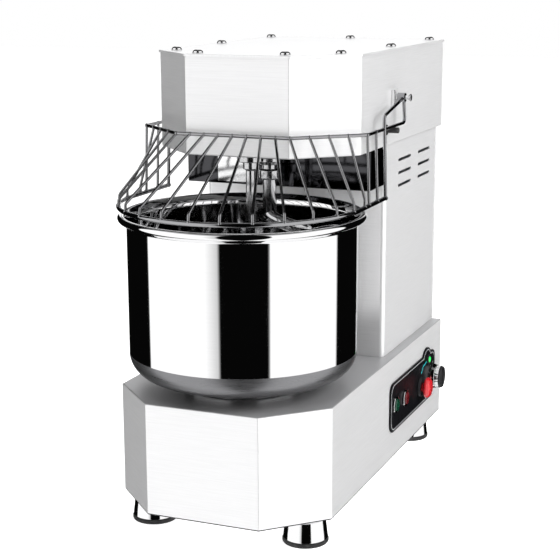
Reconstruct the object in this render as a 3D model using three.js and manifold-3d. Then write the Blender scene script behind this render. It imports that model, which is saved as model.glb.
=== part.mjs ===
// Spiral dough mixer: a stainless base with a turning bowl, a column with the motor,
// a head that carries the spiral hook and the breaker bar, and a wire guard that lifts.
// Millimetres, +Z up. The front faces -Y and the origin is on the floor under the middle.

import * as THREE from 'three';
import { mergeVertices } from 'three/addons/utils/BufferGeometryUtils.js';
import Module from 'manifold-3d';

const wasm = await Module();
wasm.setup();

// ---- Driving dimensions. Y is counted from the front of the base, Z from the floor. ----

const SHEET = 2; // thickness of the stainless sheet
const GAP = 0.4; // clearance between pieces that touch
const REAR = 724; // the base, the column and the head end here
const ORIGIN_Y = 351; // the model is shifted forward by this much

const BASE = { half: 190, front: 0, chamfer: 91, bottom: 48, top: 238 };
const COLUMN = { half: 172, front: 405 };
const HEAD = { half: 182, front: 152, chamfer: 91, bottom: 625, top: 790 };
const LID = { overhang: 2, lip: 4 };
const NECK = { front: 322, bottom: 553 }; // the cover box under the head

const FOOT = { x: 139, frontY: 104, rearY: 680, radius: 38.7, height: 47.8 };

const BOWL = {
  y: 172, radius: 192, wall: 2.5, bottom: 247, footRadius: 98,
  corner: 42, cornerZ: 300, rimRadius: 206.5, rimTop: 532.5,
};
const TURNTABLE = { radius: 102, bottom: 238.8, top: 246.6, spindle: 18 };

const HOOK = { x: 4, y: 280, shaft: 12, rod: 11, coil: 66, turns: 1.35, top: 516, end: 277 };
const BREAKER = { x: 8, y: 188, radius: 7.5, bottom: 264 };

const MOTOR = { y: 560, radius: 68, bottom: 302, top: 520, shaft: 12 };
const TOP_PULLEY = { radius: 55, bottom: 664, top: 686 };
const JACK = { y: 350, pulley: 62.5, pinion: 22, bottom: 138, top: 162 };
const MOTOR_PINION = 25;
const CHAIN = { sprocket: 110, bottom: 98, top: 118 };

const GUARD = {
  pivotY: 414, pivotZ: 706, side: 200, railY: 134, railZ: 662, cornerX: 100, sideY: 222,
  rearY: 424, ringRadius: 204, ringZ: 546, ringRod: 4.5, rod: 3, wire: 2.4,
  ringStep: 14, bars: 7, panelRearY: 308, armZ: 684,
};
const PIVOT = { pin: 4, eye: 8, eyeInner: 4.5 };
const STOP = { y: 372, z: 653.5, radius: 5 };

const PANEL = { front: 388, rear: 672, bottom: 99, top: 192, corner: 18, thickness: 3 };
const LOBE = { y: 618, z: 175, radius: 30 };
const BUTTONS = [
  { name: 'start_button', bezel: 'start_bezel', y: 415, z: 149, finish: 'green' },
  { name: 'stop_button', bezel: 'stop_bezel', y: 474, z: 145, finish: 'red' },
];
const BUTTON = { radius: 11, face: 199 };
const ESTOP = { y: 571, z: 139, head: 20, stem: 8 };
const LAMP = { y: 624, z: 180, radius: 8.5 };
const KNOB = { y: 655, z: 138, radius: 23, skirt: 25, stem: 6 };

const VENT = { rows: [587, 563.5, 540.5], columns: [480, 601], length: 77, height: 5.5 };
const GLAND = { x: -120, z: 120, radius: 14 };

const FINISHES = {
  steel: { color: 0xd9dadc, roughness: 0.28, metalness: 1 },
  polished: { color: 0xe6e7e8, roughness: 0.06, metalness: 1 },
  cast: { color: 0x8d9196, roughness: 0.55, metalness: 0.8 },
  rubber: { color: 0x151515, roughness: 0.8, metalness: 0 },
  blackPlastic: { color: 0x101112, roughness: 0.35, metalness: 0 },
  green: { color: 0x1f8f46, roughness: 0.3, metalness: 0 },
  red: { color: 0xc01d22, roughness: 0.35, metalness: 0 },
  paint: { color: 0x2c4d74, roughness: 0.5, metalness: 0.1 },
  grey: { color: 0xb9bcbf, roughness: 0.4, metalness: 0.1 },
};

// ---- Solids: booleans, plates, turned pieces and rods. ----

function toSolid(geometry) {
  const bare = geometry.clone();
  bare.deleteAttribute('normal');
  bare.deleteAttribute('uv');
  const merged = mergeVertices(bare, 1e-4);
  const index = merged.index.array;
  const triVerts = [];
  for (let i = 0; i < index.length; i += 3) {
    const [a, b, c] = [index[i], index[i + 1], index[i + 2]];
    if (a !== b && b !== c && c !== a) triVerts.push(a, b, c);
  }
  return new wasm.Manifold(new wasm.Mesh({
    numProp: 3,
    vertProperties: new Float32Array(merged.attributes.position.array),
    triVerts: new Uint32Array(triVerts),
  }));
}

function toGeometry(solid) {
  const mesh = solid.getMesh();
  const geometry = new THREE.BufferGeometry();
  geometry.setAttribute('position', new THREE.BufferAttribute(mesh.vertProperties, 3));
  geometry.setIndex(new THREE.BufferAttribute(mesh.triVerts, 1));
  geometry.computeVertexNormals();
  return geometry;
}

function join(...geometries) {
  return toGeometry(geometries.map(toSolid).reduce((sum, solid) => sum.add(solid)));
}

function cut(geometry, ...tools) {
  return toGeometry(tools.map(toSolid).reduce((rest, tool) => rest.subtract(tool), toSolid(geometry)));
}

function block(x0, x1, y0, y1, z0, z1) {
  const geometry = new THREE.BoxGeometry(x1 - x0, y1 - y0, z1 - z0);
  return geometry.translate((x0 + x1) / 2, (y0 + y1) / 2, (z0 + z1) / 2);
}

function slab(points, bottom, top, hole) {
  const shape = new THREE.Shape(points);
  if (hole) shape.holes.push(new THREE.Path(hole));
  const geometry = new THREE.ExtrudeGeometry(shape, { depth: top - bottom, bevelEnabled: false });
  return geometry.translate(0, 0, bottom);
}

// A piece turned about +Z from pairs of radius and height.
function turned(profile, x = 0, y = 0, segments = 16) {
  const points = profile.map(([radius, height]) => new THREE.Vector2(radius, height));
  const last = points[points.length - 1];
  if (points[0].x > 0 || last.x > 0) points.push(points[0].clone());
  if (THREE.ShapeUtils.area(points) < 0) points.reverse();
  return new THREE.LatheGeometry(points, segments).rotateX(Math.PI / 2).translate(x, y, 0);
}

function disc(radius, bottom, top, x = 0, y = 0, segments = 16) {
  return turned([[0, bottom], [radius, bottom], [radius, top], [0, top]], x, y, segments);
}

function tube(inner, outer, bottom, top, x = 0, y = 0, segments = 16) {
  return turned([[inner, bottom], [outer, bottom], [outer, top], [inner, top]], x, y, segments);
}

// Turns a piece built about +Z so that its axis points along +X from the base's right wall.
function onRightWall(geometry, y, z) {
  return geometry.rotateY(Math.PI / 2).translate(0, y, z);
}

function rod(from, to, radius, sides = 6) {
  const a = new THREE.Vector3(...from);
  const b = new THREE.Vector3(...to);
  const along = b.clone().sub(a);
  const geometry = new THREE.CylinderGeometry(radius, radius, along.length(), sides);
  const turn = new THREE.Quaternion();
  turn.setFromUnitVectors(new THREE.Vector3(0, 1, 0), along.normalize());
  return geometry.applyQuaternion(turn).translate(...a.add(b).multiplyScalar(0.5).toArray());
}

function ball(centre, radius) {
  return new THREE.SphereGeometry(radius, 6, 4).translate(...centre);
}

// A rod bent through several points, with a ball in each bend.
function bentRod(points, radius, sides = 6) {
  const parts = [];
  for (let i = 0; i + 1 < points.length; i += 1) {
    parts.push(rod(points[i], points[i + 1], radius, sides));
    if (i > 0) parts.push(ball(points[i], radius));
  }
  return parts;
}

function sweep(curve, radius, sides, steps) {
  const section = new THREE.Shape();
  for (let i = 0; i < sides; i += 1) {
    const angle = (2 * Math.PI * i) / sides;
    const point = [radius * Math.cos(angle), radius * Math.sin(angle)];
    if (i === 0) section.moveTo(...point);
    else section.lineTo(...point);
  }
  return new THREE.ExtrudeGeometry(section, { steps, extrudePath: curve });
}

function piece(name, geometry, finish) {
  const mesh = new THREE.Mesh(geometry, new THREE.MeshStandardMaterial(FINISHES[finish]));
  mesh.name = name;
  return mesh;
}

function assembly(...children) {
  return new THREE.Group().add(...children);
}

// ---- Housings. ----

// The outline shared by the base and the head: a rectangle with two cut front corners.
// A positive inset moves every side inwards.
function octagon(box, inset = 0) {
  const half = box.half - inset;
  const front = box.front + inset;
  const rear = REAR - inset;
  const corner = box.chamfer - inset * (2 - Math.SQRT2);
  return [
    [-half, rear], [-half, front + corner], [-half + corner, front],
    [half - corner, front], [half, front + corner], [half, rear],
  ].map(([x, y]) => new THREE.Vector2(x, y));
}

function baseHousing() {
  const controls = BUTTONS.map(({ y, z }) => onRightWall(disc(BUTTON.radius + 2, 180, 194), y, z));
  controls.push(onRightWall(disc(ESTOP.stem + 1, 180, 194), ESTOP.y, ESTOP.z));
  controls.push(onRightWall(disc(LAMP.radius + 1, 180, 194), LAMP.y, LAMP.z));
  controls.push(onRightWall(disc(KNOB.stem + 1, 180, 194), KNOB.y, KNOB.z));
  return cut(
    slab(octagon(BASE), BASE.bottom, BASE.top),
    slab(octagon(BASE, SHEET), BASE.bottom - 1, BASE.top - SHEET),
    disc(TURNTABLE.spindle + 4, BASE.top - 10, BASE.top + 10, 0, BOWL.y),
    disc(40, BASE.top - 10, BASE.top + 10, 0, MOTOR.y),
    disc(GLAND.radius - 3, -10, 10).rotateX(Math.PI / 2).translate(GLAND.x, REAR, GLAND.z),
    ...controls,
  );
}

function floorPlate() {
  const plate = slab(octagon(BASE, SHEET + GAP), BASE.bottom + GAP, BASE.bottom + 3.4);
  const slots = [-60, 0, 60].map((x) => block(x - 20, x + 20, 430, 500, BASE.bottom - 1, BASE.bottom + 6));
  return cut(plate, ...slots);
}

function columnHousing() {
  const { half, front } = COLUMN;
  const bottom = BASE.top + GAP;
  const top = HEAD.bottom - GAP;
  const rear = REAR - SHEET - GAP;
  const flange = 14;
  const slots = VENT.rows.flatMap((z) => VENT.columns.map((y) => block(
    -half - 1, half + 1, y, y + VENT.length, z - VENT.height / 2, z + VENT.height / 2,
  )));
  return cut(
    block(-half, half, front, rear, bottom, top),
    block(-half + SHEET, half - SHEET, front + SHEET, rear - SHEET, bottom - 1, top + 1),
    block(-half + flange, half - flange, front + SHEET, rear + 1, bottom - 1, top + 1),
    ...slots,
  );
}

function columnRearCover() {
  const { half } = COLUMN;
  const slots = [0, 1, 2, 3, 4].map((row) => {
    const z = 300 + row * 24;
    return block(-70, 70, REAR - 10, REAR + 10, z, z + 6);
  });
  return cut(block(-half, half, REAR - SHEET, REAR, BASE.top + GAP, HEAD.bottom - GAP), ...slots);
}

function neckCover() {
  const { half } = COLUMN;
  const rear = COLUMN.front - GAP;
  const top = HEAD.bottom - GAP;
  return cut(
    block(-half, half, NECK.front, rear, NECK.bottom, top),
    block(-half + SHEET, half - SHEET, NECK.front + SHEET, rear + 1, NECK.bottom + SHEET, top - SHEET),
  );
}

function headHousing() {
  const wallTop = HEAD.top - SHEET - GAP;
  return cut(
    slab(octagon(HEAD), HEAD.bottom, wallTop),
    slab(octagon(HEAD, SHEET), HEAD.bottom + SHEET, wallTop + 1),
    disc(25, HEAD.bottom - 1, HEAD.bottom + 4, HOOK.x, HOOK.y),
    disc(40, HEAD.bottom - 1, HEAD.bottom + 4, 0, MOTOR.y),
  );
}

function headLid() {
  const bottom = HEAD.top - LID.lip;
  return cut(
    slab(octagon(HEAD, -LID.overhang), bottom, HEAD.top),
    slab(octagon(HEAD, -GAP), bottom - 1, HEAD.top - SHEET),
  );
}

const LID_SCREWS = [
  [-77, 172], [77, 172], [-148, 238], [148, 238], [-163, 455], [163, 455],
  [-163, 692], [0, 702], [163, 692],
];

function lidScrew([x, y]) {
  const bottom = HEAD.top + 0.3;
  return turned([
    [0, bottom], [9, bottom], [9, bottom + 1.5], [8, bottom + 4.2], [4.6, bottom + 6.2], [0, bottom + 6.8],
  ], x, y, 10);
}

// ---- Feet. ----

function footCup(x, y) {
  const r = FOOT.radius;
  return turned([
    [0, 7.9], [r - 1.2, 7.9], [r - 5, 41], [r - 8, 44], [9, 44], [9, FOOT.height], [0, FOOT.height],
  ], x, y, 16);
}

function footPad(x, y) {
  const r = FOOT.radius;
  return turned([[0, 0], [r - 1, 0], [r, 2], [r, 7.5], [0, 7.5]], x, y, 16);
}

function feet() {
  const places = {
    front_left: [-FOOT.x, FOOT.frontY], front_right: [FOOT.x, FOOT.frontY],
    rear_left: [-FOOT.x, FOOT.rearY], rear_right: [FOOT.x, FOOT.rearY],
  };
  return Object.entries(places).map(([place, [x, y]]) => assembly(
    piece(`foot_cup_${place}`, footCup(x, y), 'polished'),
    piece(`foot_pad_${place}`, footPad(x, y), 'rubber'),
  ));
}

// ---- Bowl. ----

// The quarter circle between the bowl's floor and its wall, from the floor outwards.
function bowlCorner(radius, steps = 5) {
  const points = [];
  for (let i = 0; i <= steps; i += 1) {
    const angle = (Math.PI / 2) * (i / steps);
    const out = BOWL.radius - BOWL.corner + radius * Math.sin(angle);
    points.push([out, BOWL.cornerZ - radius * Math.cos(angle)]);
  }
  return points;
}

function bowl() {
  const { radius, wall, bottom, footRadius, corner, rimRadius, rimTop } = BOWL;
  const outside = [[0, bottom], [footRadius, bottom], ...bowlCorner(corner)];
  const rim = [
    [radius, rimTop - 25], [rimRadius - 3, rimTop - 17], [rimRadius, rimTop - 10],
    [rimRadius - 2.5, rimTop - 3.5], [radius + 6, rimTop], [radius - wall, rimTop - 1.5],
  ];
  const inside = [...bowlCorner(corner - wall).reverse(), [footRadius, bottom + wall], [0, bottom + wall]];
  return turned([...outside, ...rim, ...inside], 0, BOWL.y, 36);
}

function bowlTurntable() {
  const { radius, bottom, top, spindle } = TURNTABLE;
  return turned([
    [0, 72], [spindle, 72], [spindle, bottom], [radius, bottom], [radius, top], [0, top],
  ], 0, BOWL.y, 36);
}

function bowlSprocket() {
  const { sprocket, bottom, top } = CHAIN;
  const middle = (bottom + top) / 2;
  const bore = TURNTABLE.spindle + 0.3;
  return turned([
    [bore, bottom], [34, bottom], [34, middle - 4], [sprocket, middle - 4], [sprocket, middle + 4],
    [34, middle + 4], [34, top + 8], [bore, top + 8],
  ], 0, BOWL.y, 24);
}

function bowlBearing() {
  const top = BASE.top - SHEET - GAP;
  return turned([
    [TURNTABLE.spindle + 0.6, 168], [42, 168], [42, top - 10], [70, top - 10], [70, top],
    [TURNTABLE.spindle + 0.6, top],
  ], 0, BOWL.y);
}

// ---- Hook and breaker bar. ----

class CoilCurve extends THREE.Curve {
  getPoint(t, target = new THREE.Vector3()) {
    const reach = THREE.MathUtils.smoothstep(t, 0, 0.16);
    const tuck = THREE.MathUtils.smoothstep(t, 0.8, 1);
    const radius = HOOK.coil * reach - 14 * tuck;
    const angle = -0.9 + 2 * Math.PI * HOOK.turns * t;
    const z = THREE.MathUtils.lerp(HOOK.top, HOOK.end, t);
    return target.set(HOOK.x + radius * Math.cos(angle), HOOK.y + radius * Math.sin(angle), z);
  }
}

function spiralHook() {
  const { x, y, shaft, rod: rodRadius, top } = HOOK;
  const coil = new CoilCurve();
  return join(
    turned([
      [0, top - 6], [shaft - 2, top - 6], [shaft, top - 2], [shaft, 572], [18, 574], [18, 588], [shaft, 590],
      [shaft, 716], [0, 716],
    ], x, y, 16),
    sweep(coil, rodRadius, 6, 36),
    ball(coil.getPoint(0).toArray(), rodRadius),
    ball(coil.getPoint(1).toArray(), rodRadius),
  );
}

function hookBearing() {
  const inner = HOOK.shaft + 0.6;
  const under = HEAD.bottom - GAP;
  return turned([
    [inner, 598], [21, 598], [24, 604], [24, 612], [36, 612], [36, under], [24, under],
    [24, 655], [inner, 655],
  ], HOOK.x, HOOK.y);
}

function breakerBar() {
  const { x, y, radius, bottom } = BREAKER;
  const under = HEAD.bottom - GAP;
  return turned([
    [0, bottom], [radius - 2, bottom], [radius, bottom + 2], [radius, 600], [12, 602], [12, 614],
    [22, 614], [22, under], [0, under],
  ], x, y, 14);
}

// ---- Drive. ----

function pulleyProfile(bore, radius, bottom, top) {
  const rim = radius + 7;
  return [
    [bore, bottom], [rim, bottom], [rim, bottom + 2.5], [radius, bottom + 2.5],
    [radius, top - 2.5], [rim, top - 2.5], [rim, top], [bore, top],
  ];
}

function hookPulley() {
  const { radius, bottom, top } = TOP_PULLEY;
  return turned(pulleyProfile(HOOK.shaft + 0.3, radius, bottom, top), HOOK.x, HOOK.y);
}

function driveShaft() {
  const upper = pulleyProfile(0, TOP_PULLEY.radius, TOP_PULLEY.bottom, TOP_PULLEY.top);
  const lower = pulleyProfile(0, MOTOR_PINION, JACK.bottom, JACK.top);
  return join(
    disc(MOTOR.shaft, 92, 716, 0, MOTOR.y, 16),
    turned(upper, 0, MOTOR.y),
    turned(lower, 0, MOTOR.y),
  );
}

function motorBody() {
  const { y, radius, bottom, top, shaft } = MOTOR;
  const bore = shaft + 0.8;
  return join(
    turned([
      [bore, bottom], [radius - 6, bottom], [radius - 6, bottom + 26], [radius, bottom + 30],
      [radius, top - 40], [radius - 6, top - 36], [radius - 10, top], [bore, top],
    ], 0, y, 20),
    block(radius - 6, radius + 34, y - 34, y + 34, bottom + 70, bottom + 130),
  );
}

function motorMount() {
  const { y, bottom } = MOTOR;
  const plateTop = bottom - GAP;
  const foot = BASE.top + GAP;
  return cut(
    join(
      block(-110, 110, y - 90, y + 90, plateTop - 8, plateTop),
      block(-110, -102, y - 90, y + 90, foot, plateTop - 4),
      block(102, 110, y - 90, y + 90, foot, plateTop - 4),
    ),
    disc(30, plateTop - 20, plateTop + 5, 0, y),
  );
}

function jackshaft() {
  const { y, pulley, pinion, bottom, top } = JACK;
  const middle = (CHAIN.bottom + CHAIN.top) / 2;
  return join(
    disc(11, 72, 196, 0, y, 16),
    turned(pulleyProfile(0, pulley, bottom, top), 0, y),
    disc(pinion, middle - 4, middle + 4, 0, y, 24),
  );
}

function jackshaftBearing() {
  const top = BASE.top - SHEET - GAP;
  return turned([
    [0, 200], [11.6, 200], [11.6, 176], [30, 176], [30, top - 8], [48, top - 8], [48, top], [0, top],
  ], 0, JACK.y);
}

// The outline of a belt laid round two pulleys on one line, as the hull of two circles.
function beltOutline(a, b, grow) {
  const [ra, rb] = [a.r + grow, b.r + grow];
  const heading = Math.atan2(b.y - a.y, b.x - a.x);
  const spread = Math.acos((ra - rb) / Math.hypot(b.x - a.x, b.y - a.y));
  const points = [];
  const arc = (centre, radius, from, to) => {
    const steps = 9;
    const outer = radius / Math.cos((to - from) / steps / 2);
    for (let i = 0; i <= steps; i += 1) {
      const angle = from + ((to - from) * i) / steps;
      points.push(new THREE.Vector2(centre.x + outer * Math.cos(angle), centre.y + outer * Math.sin(angle)));
    }
  };
  arc(a, ra, heading + spread, heading - spread + 2 * Math.PI);
  arc(b, rb, heading - spread, heading + spread);
  return points;
}

function belt(a, b, bottom, top, thickness) {
  return slab(beltOutline(a, b, 1 + thickness), bottom, top, beltOutline(a, b, 1));
}

function belts() {
  const hook = { x: HOOK.x, y: HOOK.y, r: TOP_PULLEY.radius };
  const motorTop = { x: 0, y: MOTOR.y, r: TOP_PULLEY.radius };
  const motorLow = { x: 0, y: MOTOR.y, r: MOTOR_PINION };
  const jackPulley = { x: 0, y: JACK.y, r: JACK.pulley };
  const jackPinion = { x: 0, y: JACK.y, r: JACK.pinion };
  const sprocket = { x: 0, y: BOWL.y, r: CHAIN.sprocket };
  const chainZ = (CHAIN.bottom + CHAIN.top) / 2;
  return [
    piece('hook_belt', belt(hook, motorTop, TOP_PULLEY.bottom + 4, TOP_PULLEY.top - 4, 4), 'rubber'),
    piece('reduction_belt', belt(jackPulley, motorLow, JACK.bottom + 4, JACK.top - 4, 4), 'rubber'),
    piece('bowl_chain', belt(sprocket, jackPinion, chainZ - 3, chainZ + 3, 5), 'cast'),
  ];
}

// ---- Guard. ----

// The top rail seen from above: a front run and two slanted runs to the side corners.
function railPoint(k) {
  const { bars, cornerX, railY, side, sideY } = GUARD;
  const sign = Math.sign(k);
  const step = Math.abs(k);
  const frontBars = 4;
  if (step <= frontBars) return [(sign * cornerX * step) / frontBars, railY];
  const part = (step - frontBars) / (bars + 1 - frontBars);
  return [sign * (cornerX + (side - cornerX) * part), railY + (sideY - railY) * part];
}

// The lower ring seen from above: a half circle round the bowl, then straight sides.
function ringPoint(k) {
  const angle = THREE.MathUtils.degToRad(GUARD.ringStep * Math.abs(k));
  const radius = GUARD.ringRadius;
  if (angle <= Math.PI / 2) {
    return [Math.sign(k) * radius * Math.sin(angle), BOWL.y - radius * Math.cos(angle)];
  }
  return [Math.sign(k) * radius, BOWL.y + radius * Math.tan(angle - Math.PI / 2)];
}

function guardSide(sign) {
  const { side, sideY, railZ, ringZ, ringRadius, rod: r, wire } = GUARD;
  const { panelRearY, rearY, pivotY, pivotZ, armZ } = GUARD;
  const x = sign * side;
  const low = sign * ringRadius;
  const middleY = (sideY + panelRearY) / 2;
  return [
    ...bentRod([[x, sideY, railZ], [x, rearY, railZ], [x, pivotY, pivotZ]], r),
    ...bentRod([[low, panelRearY, ringZ], [x, panelRearY, armZ], [x, pivotY, pivotZ]], r),
    rod([low, sideY, ringZ], [x, sideY, railZ], wire),
    rod([low, middleY, ringZ], [x, middleY, railZ], wire),
    rod([low, BOWL.y, ringZ], [low, panelRearY, ringZ], GUARD.ringRod),
    ball([low, panelRearY, ringZ], GUARD.ringRod),
    disc(PIVOT.eye, -7, 7, 0, 0, 16).rotateY(Math.PI / 2).translate(sign * 197, pivotY, pivotZ),
  ];
}

function guardCage() {
  const { railZ, railY, cornerX, side, sideY, ringZ, ringRadius, ringRod, rod: r, wire, bars } = GUARD;
  const ring = new THREE.EllipseCurve(0, BOWL.y, ringRadius, ringRadius, Math.PI, 2 * Math.PI);
  const ringPath = new THREE.CatmullRomCurve3(
    ring.getPoints(24).map((point) => new THREE.Vector3(point.x, point.y, ringZ)),
  );
  const rail = [[-side, sideY], [-cornerX, railY], [cornerX, railY], [side, sideY]];
  const wires = [];
  for (let k = -bars; k <= bars; k += 1) {
    wires.push(rod([...railPoint(k), railZ], [...ringPoint(k), ringZ], wire, 5));
  }
  const cage = join(
    sweep(ringPath, ringRod, 6, 24),
    ...bentRod(rail.map(([x, y]) => [x, y, railZ]), r),
    ball([-side, sideY, railZ], r),
    ball([side, sideY, railZ], r),
    ...guardSide(-1),
    ...guardSide(1),
    ...wires,
  );
  const bore = disc(PIVOT.eyeInner, -260, 260, 0, 0, 16).rotateY(Math.PI / 2);
  return cut(cage, bore.translate(0, GUARD.pivotY, GUARD.pivotZ));
}

// A forked bracket: a plate on the head, a web behind the pivot and an outer ear.
function guardBracket(sign) {
  const { pivotY, pivotZ } = GUARD;
  const inside = HEAD.half + 0.3;
  const web = [pivotY + 11, pivotY + 15];
  const side = (inner, outer, ...rest) => {
    const ends = [sign * inner, sign * outer];
    return block(Math.min(...ends), Math.max(...ends), ...rest);
  };
  const bore = disc(PIVOT.pin + 0.3, 170, 230, 0, 0, 16).rotateY((sign * Math.PI) / 2);
  return cut(
    join(
      side(inside, inside + 4, pivotY - 14, web[1], pivotZ - 16, pivotZ + 14),
      side(inside, 211, web[0], web[1], pivotZ - 14, pivotZ + 12),
      side(207, 211, pivotY - 12, web[1], pivotZ - 14, pivotZ + 12),
    ),
    bore.translate(0, pivotY, pivotZ),
  );
}

function guardPin(sign) {
  const { pivotY, pivotZ } = GUARD;
  const pin = turned([
    [0, 183], [PIVOT.pin, 183], [PIVOT.pin, 211.4], [6.5, 211.4], [6.5, 214], [0, 214],
  ], 0, 0, 16);
  return pin.rotateY((sign * Math.PI) / 2).translate(0, pivotY, pivotZ);
}

function guardStop(sign) {
  const stud = turned([
    [0, 182.3], [9, 182.3], [9, 185], [STOP.radius, 185], [STOP.radius, 206], [0, 206],
  ], 0, 0, 16);
  return stud.rotateY((sign * Math.PI) / 2).translate(0, STOP.y, STOP.z);
}

function guardSwitch() {
  const { pivotY, pivotZ } = GUARD;
  return block(-178, -152, pivotY - 22, pivotY + 22, pivotZ - 28, pivotZ + 28);
}

// ---- Controls on the right wall of the base. ----

function controlPanel() {
  const { front, rear, bottom, top, corner, thickness } = PANEL;
  const face = BASE.half + 0.3;
  const plate = new THREE.Shape();
  const quarter = Math.PI / 2;
  plate.absarc(front + corner, bottom + corner, corner, 2 * quarter, 3 * quarter);
  plate.absarc(rear - 2 * corner, bottom + 2 * corner, 2 * corner, 3 * quarter, 4 * quarter);
  plate.absarc(rear - corner, top - corner, corner, 0, quarter);
  plate.absarc(front + corner, top - corner, corner, quarter, 2 * quarter);
  const options = { depth: thickness, bevelEnabled: false, curveSegments: 6 };
  const upright = new THREE.ExtrudeGeometry(plate, options);
  const lobe = disc(LOBE.radius, 0, thickness, LOBE.y, LOBE.z, 24);
  const holes = BUTTONS.map(({ y, z }) => disc(BUTTON.radius + 1, -1, 9, y, z, 16));
  holes.push(disc(ESTOP.stem + 1, -1, 9, ESTOP.y, ESTOP.z, 16));
  holes.push(disc(LAMP.radius + 0.6, -1, 9, LAMP.y, LAMP.z, 16));
  holes.push(disc(KNOB.stem + 1, -1, 9, KNOB.y, KNOB.z, 16));
  const flat = cut(join(upright, lobe), ...holes);
  const stand = new THREE.Matrix4().makeBasis(
    new THREE.Vector3(0, 1, 0), new THREE.Vector3(0, 0, 1), new THREE.Vector3(1, 0, 0),
  );
  return flat.applyMatrix4(stand).translate(face, 0, 0);
}

function pushButton({ y, z }) {
  const { radius, face } = BUTTON;
  const cap = turned([
    [0, 183], [radius, 183], [radius, face - 1.5], [radius - 2, face], [0, face + 0.8],
  ], 0, 0, 16);
  return onRightWall(cap, y, z);
}

function bezel({ y, z }) {
  const back = BASE.half + PANEL.thickness + 0.6;
  const ring = turned([
    [BUTTON.radius + 0.6, back], [BUTTON.radius + 5, back], [BUTTON.radius + 4, back + 2.5],
    [BUTTON.radius + 0.6, back + 3],
  ], 0, 0, 16);
  return onRightWall(ring, y, z);
}

function estopCollar() {
  const back = BASE.half + PANEL.thickness + 0.6;
  return onRightWall(tube(ESTOP.stem + 0.6, ESTOP.head - 1, back, back + 5, 0, 0, 20), ESTOP.y, ESTOP.z);
}

function estopButton() {
  const { head, stem } = ESTOP;
  return onRightWall(turned([
    [0, 181], [stem, 181], [stem, 203.5], [head - 4, 203.5], [head, 206], [head, 210], [head - 3, 214.5],
    [head - 9, 216.5], [0, 217],
  ], 0, 0, 20), ESTOP.y, ESTOP.z);
}

function pilotLamp() {
  const face = BASE.half + PANEL.thickness + 0.6;
  const { radius } = LAMP;
  return onRightWall(turned([
    [0, 184], [radius, 184], [radius, face], [radius + 1.6, face + 0.2], [radius + 1.2, face + 2],
    [radius - 3, face + 4.4], [0, face + 5.2],
  ], 0, 0, 14), LAMP.y, LAMP.z);
}

function timerSkirt() {
  return onRightWall(turned([
    [KNOB.stem + 0.3, 194.2], [KNOB.skirt, 194.2], [KNOB.skirt, 197], [KNOB.radius, 203],
    [KNOB.stem + 0.3, 203],
  ], 0, 0, 20), KNOB.y, KNOB.z);
}

function timerKnob() {
  const { radius, stem } = KNOB;
  const cap = turned([
    [0, 184], [stem, 184], [stem, 203.4], [radius, 203.4], [radius - 1, 213], [radius - 2.5, 215], [0, 215],
  ], 0, 0, 20);
  return onRightWall(join(cap, block(-radius + 3, radius - 3, -2.5, 2.5, 213, 216.5)), KNOB.y, KNOB.z);
}

// ---- Electrics. ----

function cableGland() {
  const gland = turned([
    [4, -9], [GLAND.radius - 4, -9], [GLAND.radius - 4, 0.3], [GLAND.radius, 0.3], [GLAND.radius, 6],
    [GLAND.radius - 3, 7], [GLAND.radius - 4.5, 13], [7, 14.5], [4, 14.5],
  ], 0, 0, 14);
  return gland.rotateX(-Math.PI / 2).translate(GLAND.x, REAR, GLAND.z);
}

function contactorBox() {
  return block(78, 150, 560, 690, BASE.bottom + 4, 176);
}

// ---- The whole mixer. ----

const base = assembly(
  piece('base_housing', baseHousing(), 'steel'),
  piece('base_floor_plate', floorPlate(), 'steel'),
  ...feet(),
);

const column = assembly(
  piece('column_housing', columnHousing(), 'steel'),
  piece('column_rear_cover', columnRearCover(), 'steel'),
  piece('neck_cover', neckCover(), 'polished'),
  piece('motor_body', motorBody(), 'paint'),
  piece('motor_mount', motorMount(), 'cast'),
);

const head = assembly(
  piece('head_housing', headHousing(), 'steel'),
  piece('head_lid', headLid(), 'steel'),
  ...LID_SCREWS.map((place, i) => piece(`lid_screw_${i + 1}`, lidScrew(place), 'polished')),
  piece('hook_bearing', hookBearing(), 'cast'),
  piece('breaker_bar', breakerBar(), 'polished'),
);

const bowlSet = assembly(
  piece('bowl', bowl(), 'polished'),
  piece('bowl_turntable', bowlTurntable(), 'polished'),
  piece('bowl_sprocket', bowlSprocket(), 'cast'),
);

const drive = assembly(
  piece('bowl_bearing', bowlBearing(), 'cast'),
  piece('spiral_hook', spiralHook(), 'polished'),
  piece('hook_pulley', hookPulley(), 'cast'),
  piece('drive_shaft', driveShaft(), 'cast'),
  piece('jackshaft', jackshaft(), 'cast'),
  piece('jackshaft_bearing', jackshaftBearing(), 'cast'),
  ...belts(),
);

const guard = assembly(
  piece('guard_cage', guardCage(), 'polished'),
  ...[['left', -1], ['right', 1]].map(([name, sign]) => assembly(
    piece(`guard_bracket_${name}`, guardBracket(sign), 'steel'),
    piece(`guard_pin_${name}`, guardPin(sign), 'polished'),
    piece(`guard_stop_${name}`, guardStop(sign), 'polished'),
  )),
  piece('guard_switch', guardSwitch(), 'blackPlastic'),
);

const controls = assembly(
  piece('control_panel', controlPanel(), 'blackPlastic'),
  ...BUTTONS.map((button) => assembly(
    piece(button.name, pushButton(button), button.finish),
    piece(button.bezel, bezel(button), 'polished'),
  )),
  piece('estop_collar', estopCollar(), 'blackPlastic'),
  piece('estop_button', estopButton(), 'red'),
  piece('pilot_lamp', pilotLamp(), 'green'),
  piece('timer_skirt', timerSkirt(), 'polished'),
  piece('timer_knob', timerKnob(), 'blackPlastic'),
  piece('cable_gland', cableGland(), 'blackPlastic'),
  piece('contactor_box', contactorBox(), 'grey'),
);

const mixer = assembly(base, column, head, bowlSet, drive, guard, controls);
mixer.position.y = -ORIGIN_Y;

export default mixer;
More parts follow.
